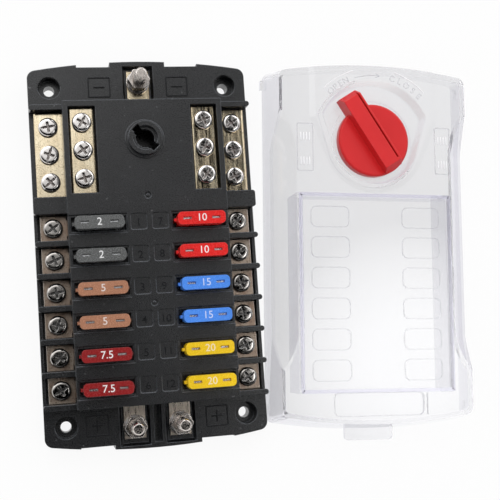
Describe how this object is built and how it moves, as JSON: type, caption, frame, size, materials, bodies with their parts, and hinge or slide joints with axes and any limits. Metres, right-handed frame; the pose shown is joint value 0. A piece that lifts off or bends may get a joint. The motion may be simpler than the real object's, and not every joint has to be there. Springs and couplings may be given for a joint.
{
  "type": "blade fuse block",
  "caption": "Flat fuse block for blade fuses in two columns, with screw outputs, return bars, power studs and a separate clear cover that locks with a knob.",
  "frame": {"origin": "centre of the four mounting holes on the back face of the block, which lies on its back", "axes": "+X across the block towards the cover that lies beside it, +Y along the block from the two positive studs to the negative stud, +Z out of the front"},
  "size_m": [0.1917, 0.1651, 0.0313],
  "materials": {
    "housing": "matt with a fine grain",
    "plated_brass": "bright pale plating",
    "copper_alloy": "bare stamped metal",
    "bright_steel": "bright plated",
    "dark_steel": "plain spring steel",
    "tinned_alloy": "tinned, satin",
    "clear_plastic": "clear, polished, slightly violet at the edges",
    "knob_red": "glossy",
    "key_plastic": "moulded, satin",
    "fuse_grey": "translucent",
    "fuse_tan": "translucent",
    "fuse_brown": "translucent",
    "fuse_red": "translucent",
    "fuse_blue": "translucent",
    "fuse_yellow": "translucent"
  },
  "bodies": {
    "block": {"base": "housing", "fuse_deck": "housing", "negative_bus": "plated_brass", "negative_bar_left": "plated_brass", "negative_bar_right": "plated_brass", "positive_bus_left": "copper_alloy", "positive_bus_right": "copper_alloy", "output_screws": "bright_steel", "negative_screws": "bright_steel", "power_studs": "bright_steel", "stud_flat_washers": "bright_steel", "stud_spring_washers": "dark_steel", "stud_nuts": "bright_steel", "output_terminal_1": "copper_alloy", "output_terminal_2": "copper_alloy", "output_terminal_3": "copper_alloy", "output_terminal_4": "copper_alloy", "output_terminal_5": "copper_alloy", "output_terminal_6": "copper_alloy", "output_terminal_7": "copper_alloy", "output_terminal_8": "copper_alloy", "output_terminal_9": "copper_alloy", "output_terminal_10": "copper_alloy", "output_terminal_11": "copper_alloy", "output_terminal_12": "copper_alloy"},
    "cover_shell": {"cover": "clear_plastic"},
    "lock": {"lock_knob": "knob_red", "lock_key": "key_plastic"},
    "fuse_1": {"fuse_body_1": "fuse_grey", "fuse_element_1": "tinned_alloy"},
    "fuse_2": {"fuse_body_2": "fuse_grey", "fuse_element_2": "tinned_alloy"},
    "fuse_3": {"fuse_body_3": "fuse_tan", "fuse_element_3": "tinned_alloy"},
    "fuse_4": {"fuse_body_4": "fuse_tan", "fuse_element_4": "tinned_alloy"},
    "fuse_5": {"fuse_body_5": "fuse_brown", "fuse_element_5": "tinned_alloy"},
    "fuse_6": {"fuse_body_6": "fuse_brown", "fuse_element_6": "tinned_alloy"},
    "fuse_7": {"fuse_body_7": "fuse_red", "fuse_element_7": "tinned_alloy"},
    "fuse_8": {"fuse_body_8": "fuse_red", "fuse_element_8": "tinned_alloy"},
    "fuse_9": {"fuse_body_9": "fuse_blue", "fuse_element_9": "tinned_alloy"},
    "fuse_10": {"fuse_body_10": "fuse_blue", "fuse_element_10": "tinned_alloy"},
    "fuse_11": {"fuse_body_11": "fuse_yellow", "fuse_element_11": "tinned_alloy"},
    "fuse_12": {"fuse_body_12": "fuse_yellow", "fuse_element_12": "tinned_alloy"}
  },
  "joints": [
    {"name": "fuse_1_pull", "type": "slide", "parent": "block", "child": "fuse_1", "axis": [0, 0, 1], "range_m": [0, 0.02]},
    {"name": "fuse_2_pull", "type": "slide", "parent": "block", "child": "fuse_2", "axis": [0, 0, 1], "range_m": [0, 0.02]},
    {"name": "fuse_3_pull", "type": "slide", "parent": "block", "child": "fuse_3", "axis": [0, 0, 1], "range_m": [0, 0.02]},
    {"name": "fuse_4_pull", "type": "slide", "parent": "block", "child": "fuse_4", "axis": [0, 0, 1], "range_m": [0, 0.02]},
    {"name": "fuse_5_pull", "type": "slide", "parent": "block", "child": "fuse_5", "axis": [0, 0, 1], "range_m": [0, 0.02]},
    {"name": "fuse_6_pull", "type": "slide", "parent": "block", "child": "fuse_6", "axis": [0, 0, 1], "range_m": [0, 0.02]},
    {"name": "fuse_7_pull", "type": "slide", "parent": "block", "child": "fuse_7", "axis": [0, 0, 1], "range_m": [0, 0.02]},
    {"name": "fuse_8_pull", "type": "slide", "parent": "block", "child": "fuse_8", "axis": [0, 0, 1], "range_m": [0, 0.02]},
    {"name": "fuse_9_pull", "type": "slide", "parent": "block", "child": "fuse_9", "axis": [0, 0, 1], "range_m": [0, 0.02]},
    {"name": "fuse_10_pull", "type": "slide", "parent": "block", "child": "fuse_10", "axis": [0, 0, 1], "range_m": [0, 0.02]},
    {"name": "fuse_11_pull", "type": "slide", "parent": "block", "child": "fuse_11", "axis": [0, 0, 1], "range_m": [0, 0.02]},
    {"name": "fuse_12_pull", "type": "slide", "parent": "block", "child": "fuse_12", "axis": [0, 0, 1], "range_m": [0, 0.02]},
    {"name": "cover_lift", "type": "slide", "parent": "block", "child": "cover_shell", "axis": [0, 0, 1], "range_m": [0, 0.04]},
    {"name": "lock_turn", "type": "hinge", "parent": "cover_shell", "child": "lock", "pos_m": [0.09888, 0.04232, 0.015], "axis": [0, 0, 1], "range_deg": [-66, 0]}
  ]
}
